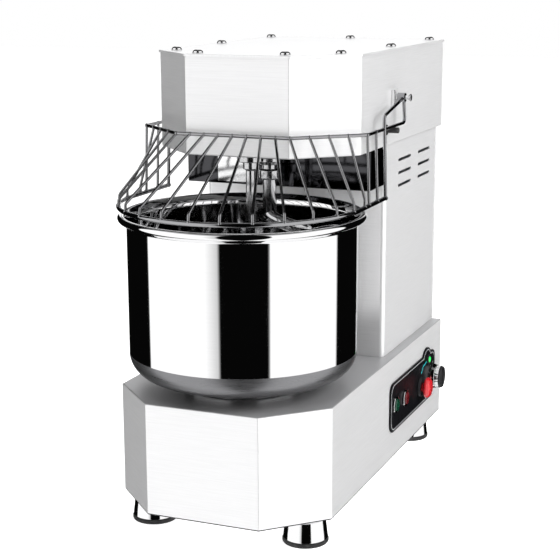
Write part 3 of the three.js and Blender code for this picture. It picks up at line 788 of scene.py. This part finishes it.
def hook_bearing():
    x, y = HOOK_AT.x, HOOK_AT.y
    inner = 12.6
    flange = 612
    profile = rounded([
        (inner, 598), (21, 598), (24, 604), (24, flange), (36, flange), (36, 624.6), (24, 624.6),
        (24, 655), (inner, 655), (inner, 598.01),
    ], [0, 1.5, 2, 2.5, 1.5, 1, 0.5, 1, 1, 0], 3)
    hub = lathe(profile[:-1], (x, y, 0), 64)
    add("bearing_hub", hub, TURNED_STEEL, "chassis", "hook_bearing", slot="cast")
    for k in range(4):
        turn = math.radians(45 + 90 * k)
        at = (x + 30 * math.cos(turn), y + 30 * math.sin(turn), flange)
        bolt = tipped(button_head(3.2, 2.6), at, 180)
        add(f"bearing_bolt_{k + 1}", bolt, TURNED_STEEL, "chassis", slot="polished")


def breaker_bar():
    low, high = corners("breaker_bar")
    x, y = BREAKER_AT.x, BREAKER_AT.y
    profile = rounded([
        (0, low.z), (7.5, low.z), (7.5, 600), (12, 602), (12, 614), (22, 614), (22, high.z),
        (0, high.z),
    ], [0, 6.5, 2, 1.5, 1.5, 1.5, 1, 0], 5)
    rod = lathe(profile, (x, y, 0), 48)
    add("breaker_rod", rod, TURNED_STEEL, "chassis", "breaker_bar", slot="polished")


# ---- Guard. ----

RAIL_Z = 662.0
RAIL_FRONT = -217.0
RAIL_CORNER = 100.0
RAIL_SIDE = 200.0
RAIL_SIDE_Y = -129.0
RING_Z = 546.0
RING_R = 204.0
RING_REAR = -43.0
RING_STEP = 14.0  # degrees between two wires
ROD = 3.0
WIRE = 2.4
RING_ROD = 3.8
WIRE_FOOT = 14.0  # how far up a wire turns from upright to sloping
PIVOT = (63.0, 706.0)
REAR_RAIL = 73.0
ARM_Z = 684.0
BARS = 7


def rail_point(k):
    """Where wire k meets the top rail: nine wires on the front run, three on each slanted run."""
    sign = 1 if k > 0 else -1
    count = abs(k)
    if count <= 4:
        return Vector((sign * RAIL_CORNER * count / 4, RAIL_FRONT, RAIL_Z))
    part = (count - 4) / (BARS - 3)
    return Vector((
        sign * (RAIL_CORNER + (RAIL_SIDE - RAIL_CORNER) * part),
        RAIL_FRONT + (RAIL_SIDE_Y - RAIL_FRONT) * part, RAIL_Z,
    ))


def ring_point(k):
    """Where wire k meets the ring: on its half circle, then on its straight sides."""
    turn = math.radians(RING_STEP * abs(k))
    side = RING_R if k > 0 else -RING_R
    if turn <= math.pi / 2:
        return Vector((side * math.sin(turn), BOWL_AT.y - RING_R * math.cos(turn), RING_Z))
    return Vector((side, BOWL_AT.y + RING_R * math.tan(turn - math.pi / 2), RING_Z))


def weld(at, radius):
    """A small fillet of weld round a joint."""
    bead = bmesh.new()
    bmesh.ops.create_icosphere(bead, subdivisions=2, radius=radius, matrix=Matrix.Translation(at))
    return bead


def guard():
    parts = []
    front = [(-RING_R, RING_REAR, RING_Z)]
    for x, y in arc((0, BOWL_AT.y), RING_R, 180, 360, 72):
        front.append((x, y, RING_Z))
    front.append((RING_R, RING_REAR, RING_Z))
    parts.append(sweep(front, RING_ROD, 16))
    pivot_y, pivot_z = PIVOT
    half = [
        (RAIL_CORNER, RAIL_FRONT, RAIL_Z), (RAIL_SIDE, RAIL_SIDE_Y, RAIL_Z),
        (RAIL_SIDE, REAR_RAIL, RAIL_Z), (RAIL_SIDE, pivot_y, pivot_z),
    ]
    rail = [(-x, y, z) for x, y, z in reversed(half)] + half
    parts.append(sweep(rounded(rail, [0, 9, 12, 12, 12, 12, 9, 0], 6), ROD, 12))
    for k in range(-BARS, BARS + 1):
        top, foot = rail_point(k), ring_point(k)
        knee = foot + Vector((0, 0, WIRE_FOOT))
        parts.append(sweep(rounded([top, knee, foot], [0, 7, 0], 4), WIRE, 10))
        parts += [weld(top, 3.7), weld(foot + Vector((0, 0, 1.6)), 3.9)]
    for sign in (-1, 1):
        low_x, high_x = sign * RING_R, sign * RAIL_SIDE
        for y in ((RAIL_SIDE_Y + RING_REAR) / 2, RAIL_SIDE_Y):
            parts.append(sweep([(low_x, y, RING_Z), (high_x, y, RAIL_Z)], WIRE, 10))
            parts += [weld((low_x, y, RING_Z + 1.6), 3.9), weld((high_x, y, RAIL_Z), 3.7)]
        arm = [(low_x, RING_REAR, RING_Z), (high_x, RING_REAR, ARM_Z), (high_x, pivot_y, pivot_z)]
        parts.append(sweep(rounded(arm, [0, 9, 0], 6), ROD, 12))
        parts += [weld((low_x, RING_REAR, RING_Z), 4.5), weld((high_x, RING_REAR, RAIL_Z), 4.2)]
        eye = [(4.5, -7), (8, -7), (8, 7), (4.5, 7), (4.5, -6.9)]
        eye = rounded(eye, [0.4, 0.8, 0.8, 0.4, 0], 2)
        parts.append(sideways(lathe(eye[:-1], steps=32), (sign * 197, pivot_y, pivot_z)))
    add("guard_wires", joined(*parts), ROD_STEEL, "guard", "guard_cage", slot="polished")


def guard_mounts():
    pivot_y, pivot_z = PIVOT
    for name, sign in SIDES:
        low, high = corners(f"guard_bracket_{name}")
        wall = low.x if sign > 0 else high.x
        near, far = sorted((wall, wall + sign * 4))
        plate = box((near, low.y, low.z), (far, high.y, high.z), 0.8)
        near, far = sorted((wall, sign * 211))
        web = box((near, high.y - 4, low.z + 2), (far, high.y, high.z - 2), 0.8)
        near, far = sorted((sign * 207, sign * 211))
        ear = box((near, low.y + 2, low.z + 2), (far, high.y, high.z - 2), 0.8)
        bore = sideways(disc(4.3, 170, 230, steps=24), (0, pivot_y, pivot_z), sign)
        fork = carved(joined(plate, web, ear), bore)
        add(f"fork_{name}", fork, WALL_STEEL, "chassis", f"guard_bracket_{name}", slot="steel")
        for place, z in (("upper", high.z - 4), ("lower", low.z + 4)):
            screw = sideways(button_head(3.2, 2), (wall + sign * 4, low.y + 5, z), sign)
            add(f"fork_screw_{name}_{place}", screw, TURNED_STEEL, "chassis", slot="polished")
        pin = rounded([
            (0, 183), (4, 183), (4, 211.4), (6.5, 211.4), (6.5, 214), (0, 214),
        ], [0, 0.6, 0, 0.5, 1.2, 0], 3)
        pin = sideways(lathe(pin, steps=32), (0, pivot_y, pivot_z), sign)
        replaces = f"guard_pin_{name}"
        add(f"pivot_pin_{name}", pin, MIRROR_STEEL, "chassis", replaces, slot="polished")
        stop = middle(f"guard_stop_{name}")
        stud = rounded([
            (0, 182.3), (9, 182.3), (9, 185), (5, 185), (5, 206), (0, 206),
        ], [0, 0.5, 0.8, 0.8, 1.5, 0], 3)
        stud = sideways(lathe(stud, steps=32), (0, stop.y, stop.z), sign)
        add(f"stop_stud_{name}", stud, RUBBER, "chassis", f"guard_stop_{name}", slot="rubber")


# ---- Controls on the right wall of the base. ----

PANEL_BACK = 190.3
PANEL_FACE = 193.3
PANEL_LOW = (37.0, 99.0)  # front lower corner, as distances along Y and Z
PANEL_HIGH = (321.0, 192.0)
PANEL_ROUND = 18.0
LOBE_AT = (267.0, 175.0)
LOBE_RADIUS = 30.0
PRINT_AND_HIGHLIGHT_HEIGHT = 0.15  # height of the printed marks and of the painted highlight
BUTTON_FACE = 199.0
COLLAR_BACK = 193.9
KNOB_RIBS = 24


def panel_outline(inset=0.0):
    """The plate: a rounded rectangle with a raised round lobe at its rear upper corner."""
    front, bottom = (value + inset for value in PANEL_LOW)
    rear, top = (value - inset for value in PANEL_HIGH)
    small, large = PANEL_ROUND, 2 * PANEL_ROUND
    radius = LOBE_RADIUS - inset
    run = math.degrees(math.asin((top - LOBE_AT[1]) / radius))
    points = arc((front + small, bottom + small), small, 180, 270, 6)
    points += arc((rear - large, bottom + large), large, 270, 360, 8)
    points += arc((rear - small, top - small), small, 0, 90, 6)
    points += arc(LOBE_AT, radius, run, 180 - run, 12)
    points += arc((front + small, top - small), small, 90, 180, 6)
    return points


def on_axis_of(node):
    """The place of a control, as the foot of its axis on the plane X = 0."""
    at = middle(node)
    at.x = 0
    return at


def ribbon(points, width, low, high):
    """A thin line along 2D points, for a printed mark or for the painted highlight."""
    points = [Vector(p) for p in points]
    left, right = [], []
    for i, p in enumerate(points):
        ahead = points[min(i + 1, len(points) - 1)]
        back = points[max(i - 1, 0)]
        run = (ahead - back).normalized() * (width / 2)
        left.append(p + Vector((-run.y, run.x)))
        right.append(p - Vector((-run.y, run.x)))
    return extrude(left + right[::-1], low, high)


def control_panel():
    plate = on_wall(extrude(panel_outline(), PANEL_BACK, PANEL_FACE, 0.6))
    holes = []
    for node, radius in CONTROL_HOLES.items():
        hole = disc(radius - 1, PANEL_BACK - OVERCUT, PANEL_FACE + OVERCUT, steps=32)
        holes.append(sideways(hole, on_axis_of(node)))
    plate = carved(plate, *holes)
    add("panel_plate", plate, PANEL_BLACK, "chassis", "control_panel", slot="black_plastic")


def printed_marks():
    """Marks on the panel: a printed border line, a curved teal stripe that is a painted highlight,
    and a printed dial scale.
    """
    low, high = PANEL_FACE, PANEL_FACE + PRINT_AND_HIGHLIGHT_HEIGHT
    middle_area = extrude(panel_outline(5.0), low - 1, high + 1)
    border = carved(extrude(panel_outline(4.0), low, high), middle_area)
    add("panel_border", on_wall(border), PRINT_SILVER, "chassis", slot="black_plastic")
    lamp = middle("pilot_lamp")
    stop = middle("estop_button")
    # Painted highlight: the curved teal stripe from the lamp down to the e-stop.
    stripe = rounded([
        (lamp.y - 6, lamp.z - 2), (stop.y + 18, lamp.z - 6), (stop.y + 8, stop.z + 24),
    ], [0, 14, 0], 8)
    stripe = on_wall(ribbon(stripe, 3.2, low, high))
    add("panel_painted_highlight", stripe, TEAL_HIGHLIGHT_PAINT, "chassis", slot="green_plastic")
    dial = middle("timer_skirt")
    centre = Vector((dial.y, dial.z))
    inner = 26.5
    ticks = []
    for k in range(11):
        turn = math.radians(240 - 30 * k)
        run = Vector((math.cos(turn), math.sin(turn)))
        length = 4 if k % 5 == 0 else 2.6
        tick = [centre + run * inner, centre + run * (inner + length)]
        ticks.append(ribbon(tick, 0.9, low, high))
    add("dial_scale", on_wall(joined(*ticks)), PRINT_SILVER, "chassis", slot="grey_plastic")


def push_buttons():
    looks = {"start": (GREEN_GLOSS, "green_plastic"), "stop": (STOP_GLOSS, "red_plastic")}
    for name, (look, slot) in looks.items():
        at = on_axis_of(f"{name}_button")
        cap = rounded([
            (0, 183), (11, 183), (11, BUTTON_FACE), (0, BUTTON_FACE + 0.8),
        ], [0, 0.5, 1.6, 0], 4)
        cap = sideways(lathe(cap, steps=48), at)
        add(f"{name}_cap", cap, look, name, f"{name}_button", slot=slot)
        ring = rounded([
            (11.6, COLLAR_BACK), (16, COLLAR_BACK), (15.2, 196.4), (13, 196.9), (11.6, 196.4),
            (11.6, 193.95),
        ], [0, 0.4, 1.0, 0.8, 0.5, 0], 3)
        ring = sideways(lathe(ring[:-1], steps=48), at)
        add(f"{name}_ring", ring, MIRROR_STEEL, "chassis", f"{name}_bezel", slot="polished")


def emergency_stop():
    at = on_axis_of("estop_button")
    head = rounded([
        (0, 181), (8, 181), (8, 203.5), (15, 203.5), (19.6, 206), (20, 209.5), (16.5, 214.5),
        (9, 216.7), (0, 217),
    ], [0, 0.5, 1, 1.5, 1.5, 3, 6, 8, 0], 4)
    head = sideways(lathe(head, steps=64), at)
    add("estop_mushroom", head, RED_GLOSS, "estop", "estop_button", slot="red_plastic")
    collar = rounded([
        (8.6, COLLAR_BACK), (19, COLLAR_BACK), (18, 198.9), (8.6, 198.9), (8.6, 193.95),
    ], [0, 0.5, 1, 0.5, 0], 3)
    collar = sideways(lathe(collar[:-1], steps=48), at)
    add("estop_base", collar, BLACK_PLASTIC, "chassis", "estop_collar", slot="black_plastic")


def pilot_lamp():
    at = on_axis_of("pilot_lamp")
    ring = [(6.2, 184), (8.5, 184), (8.5, 194), (9.8, 194.2), (9.6, 195.6), (6.2, 196.2)]
    ring = sideways(lathe(ring, steps=40), at)
    add("lamp_ring", ring, BLACK_PLASTIC, "chassis", "pilot_lamp", slot="black_plastic")
    radius, shoulder, crown = 5.9, 195.8, 3.0
    turns = (0.2, 0.5, 0.8, 1.1, 1.35)
    lens = [(0, 184), (radius, 184), (radius, shoulder)]
    lens += [(radius * math.cos(t), shoulder + crown * math.sin(t)) for t in turns]
    lens = sideways(lathe([*lens, (0, 198.8)], steps=40), at)
    add("lamp_lens", lens, LAMP_GREEN, "chassis", slot="green_plastic")


def ribbed_loop(radius, x, depth):
    """A circle round the knob's axis, pressed in by that depth between its ribs."""
    count = KNOB_RIBS * 6
    loop = []
    for k in range(count):
        turn = 2 * math.pi * k / count
        wide = radius - depth * (0.5 - 0.5 * math.cos(KNOB_RIBS * turn))
        loop.append((wide * math.cos(turn), wide * math.sin(turn), x))
    return loop


def timer():
    at = on_axis_of("timer_skirt")
    skirt = rounded([
        (6.3, 194.2), (25, 194.2), (25, 196.6), (23, 203), (6.3, 203), (6.3, 194.25),
    ], [0, 0.5, 1, 1.2, 0.4, 0], 3)
    skirt = sideways(lathe(skirt[:-1], steps=72), at)
    add("dial_skirt", skirt, MIRROR_STEEL, "timer", "timer_skirt", slot="polished")
    levels = (
        (6, 184, 0), (6, 203.4, 0), (22.2, 203.4, 0), (22.7, 204.2, 0.7), (22.2, 210.4, 0.7),
        (22.0, 210.5, 0),
    )
    grip = sideways(loft([ribbed_loop(*level) for level in levels]), at)
    add("timer_grip", grip, MIRROR_STEEL, "timer", "timer_knob", slot="polished")
    face = rounded([(0, 210.6), (21.8, 210.6), (20.6, 214.6), (0, 214.8)], [0, 0.4, 1.2, 0], 3)
    pointer = box((-19, -2.2, 213.5), (19, 2.2, 216.5), 1.0)
    face = sideways(joined(lathe(face, steps=72), pointer), at)
    add("timer_face", face, BLACK_PLASTIC, "timer", slot="black_plastic")
    line = box((2, -0.7, 216.4), (15.5, 0.7, 216.5))
    line = sideways(moved(line, Matrix.Rotation(math.pi, 4, "Z")), at)
    add("timer_pointer", line, PRINT_SILVER, "timer", slot="grey_plastic")


def cable_gland():
    at = middle("cable_gland")
    at.y = REAR
    levels = ((13.2, 0.3), (14, 1.0), (14, 5.4), (13.2, 6.2))
    nut = loft([[(*p, height) for p in hexagon(radius)] for radius, height in levels])
    nut = carved(nut, disc(9.8, -OVERCUT, 20, steps=32))
    body = rounded([
        (4, -9), (10, -9), (10, 6), (10.6, 6.4), (9.5, 12.6), (7, 14.5), (4, 14.5), (4, -8.9),
    ], [0, 0.5, 0, 0.5, 2, 1, 0.4, 0], 3)
    gland = tipped(joined(lathe(body[:-1], steps=40), nut), at, -90)
    add("gland_nut", gland, BLACK_PLASTIC, "chassis", "cable_gland", slot="black_plastic")


# ---- CAD nodes that keep their shape: the closed-in parts. ----

KEPT = {
    "base_floor_plate": WALL_STEEL, "bowl_bearing": CAST_IRON, "bowl_chain": CAST_IRON,
    "bowl_sprocket": CAST_IRON, "contactor_box": GREY_PLASTIC, "drive_shaft": CAST_IRON,
    "guard_switch": BLACK_PLASTIC, "hook_belt": RUBBER, "hook_pulley": CAST_IRON,
    "jackshaft": CAST_IRON, "jackshaft_bearing": CAST_IRON, "motor_body": ENAMEL,
    "motor_mount": CAST_IRON, "reduction_belt": RUBBER,
}


def closed_in_parts():
    for node, look in KEPT.items():
        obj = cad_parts[node]
        obj.data.materials.clear()
        obj.data.materials.append(look)


# ---- Studio: floor, surroundings, light and camera. ----

# Bearings round the mixer in degrees, from -Y towards +X, with the brightness at each. It changes
# evenly from one to the next.
SURROUNDINGS = [
    (-180, 0.0), (-173, 0.0), (-172, 1.0), (-144, 1.0), (-143, 0.0), (-83, 0.0), (-82, 1.0),
    (-14, 1.0), (-1, 0.6), (1, 0.0), (49, 0.0), (50, 1.0), (129, 1.0), (130, 0.0), (180, 0.0),
]

BRIGHT = 1.12
DARK = 0.002
CEILING_FROM = 35  # elevations between which the surroundings dim, in degrees
CEILING_TO = 70
CEILING_LEVEL = 0.15


def studio_world():
    """Plain white where the camera looks past the mixer, light and dark zones in its steel."""
    world = bpy.data.worlds.new("studio")
    bpy.context.scene.world = world
    world.use_nodes = True
    tree = world.node_tree
    tree.nodes.clear()

    def math_node(operation, *values):
        node = tree.nodes.new("ShaderNodeMath")
        node.operation = operation
        for socket, value in zip(node.inputs, values):
            if isinstance(value, (int, float)):
                socket.default_value = value
            else:
                tree.links.new(value, socket)
        return node.outputs[0]

    coords = tree.nodes.new("ShaderNodeTexCoord")
    split = tree.nodes.new("ShaderNodeSeparateXYZ")
    tree.links.new(coords.outputs["Generated"], split.inputs[0])
    toward_front = math_node("MULTIPLY", split.outputs["Y"], -1.0)
    bearing = math_node("ARCTAN2", split.outputs["X"], toward_front)
    turn = math_node("MULTIPLY_ADD", bearing, 1 / (2 * math.pi), 0.5)
    ramp = tree.nodes.new("ShaderNodeValToRGB")
    elements = ramp.color_ramp.elements
    while len(elements) > 1:
        elements.remove(elements[-1])
    for i, (degrees, level) in enumerate(SURROUNDINGS):
        place = (degrees + 180) / 360
        stop = elements[0] if i == 0 else elements.new(place)
        stop.position = place
        stop.color = (level, level, level, 1)
    tree.links.new(turn, ramp.inputs[0])
    ceiling = tree.nodes.new("ShaderNodeMapRange")
    ceiling.interpolation_type = "SMOOTHSTEP"
    ceiling.inputs["From Min"].default_value = math.sin(math.radians(CEILING_FROM))
    ceiling.inputs["From Max"].default_value = math.sin(math.radians(CEILING_TO))
    ceiling.inputs["To Min"].default_value = 1.0
    ceiling.inputs["To Max"].default_value = CEILING_LEVEL
    tree.links.new(split.outputs["Z"], ceiling.inputs["Value"])
    shade = math_node("MULTIPLY", ramp.outputs["Color"], ceiling.outputs["Result"])
    level = math_node("MULTIPLY_ADD", shade, BRIGHT, DARK)
    paths = tree.nodes.new("ShaderNodeLightPath")
    seen = tree.nodes.new("ShaderNodeBackground")
    around = tree.nodes.new("ShaderNodeBackground")
    seen.inputs["Strength"].default_value = 1.0
    tree.links.new(level, around.inputs["Strength"])
    mix = tree.nodes.new("ShaderNodeMixShader")
    out = tree.nodes.new("ShaderNodeOutputWorld")
    seen.inputs["Color"].default_value = (1, 1, 1, 1)
    around.inputs["Color"].default_value = (1, 1, 1, 1)
    tree.links.new(paths.outputs["Is Camera Ray"], mix.inputs["Fac"])
    tree.links.new(around.outputs[0], mix.inputs[1])
    tree.links.new(seen.outputs[0], mix.inputs[2])
    tree.links.new(mix.outputs[0], out.inputs["Surface"])


def studio_floor():
    """A pale floor that glows a little, so that it meets the background without a line."""
    mesh = bpy.data.meshes.new("floor")
    reach = 12.0
    square = [(-reach, -reach, 0), (reach, -reach, 0), (reach, reach, 0), (-reach, reach, 0)]
    mesh.from_pydata(square, [], [(0, 1, 2, 3)])
    look = Look("studio_floor", (0.93, 0.93, 0.93), roughness=0.9)
    look.vary_color(look.noise(3, detail=2), (0.92, 0.92, 0.92), (0.94, 0.94, 0.94))
    look.shader.inputs["Emission Color"].default_value = (1, 1, 1, 1)
    look.shader.inputs["Emission Strength"].default_value = 0.75
    mesh.materials.append(look.material)
    floor = bpy.data.objects.new("floor", mesh)
    bpy.context.scene.collection.objects.link(floor)
    floor.visible_glossy = False


def softbox(name, at, target, size, power):
    """An area light that lights the mixer and isn't mirrored in it."""
    light = bpy.data.lights.new(name, "AREA")
    light.shape = "RECTANGLE"
    light.size, light.size_y = size
    light.energy = power
    obj = bpy.data.objects.new(name, light)
    obj.location = at
    obj.rotation_mode = "QUATERNION"
    obj.rotation_quaternion = (Vector(target) - Vector(at)).to_track_quat("-Z", "Y")
    obj.visible_glossy = False
    bpy.context.scene.collection.objects.link(obj)


def camera():
    data = bpy.data.cameras.new("camera")
    data.sensor_width = 36
    data.lens = 91.01
    obj = bpy.data.objects.new("camera", data)
    turn = Matrix.Rotation(math.radians(22.25), 4, "Z")
    tilt = Matrix.Rotation(math.radians(90 - 12.565), 4, "X")
    roll = Matrix.Rotation(math.radians(-0.18), 4, "Z")
    obj.matrix_world = Matrix.Translation((0.9330, -2.2959, 0.9313)) @ turn @ tilt @ roll
    bpy.context.scene.collection.objects.link(obj)
    bpy.context.scene.camera = obj


# ---- The whole mixer. ----

base_housing()
column_housing()
rear_cover()
neck_cover()
head_housing()
head_lid()
lid_screws()
feet()
bowl()
turntable()
spiral_hook()
hook_bearing()
breaker_bar()
guard()
guard_mounts()
control_panel()
printed_marks()
push_buttons()
emergency_stop()
pilot_lamp()
timer()
cable_gland()
closed_in_parts()

studio_world()
studio_floor()
softbox("top_light", (0.0, -0.3, 3.2), (0, 0, 0.3), (3.0, 3.0), 72)
softbox("right_light", (2.6, -0.2, 1.9), (0, 0, 0.4), (2.0, 2.0), 100)
camera()
bpy.context.scene.view_settings.view_transform = "Standard"
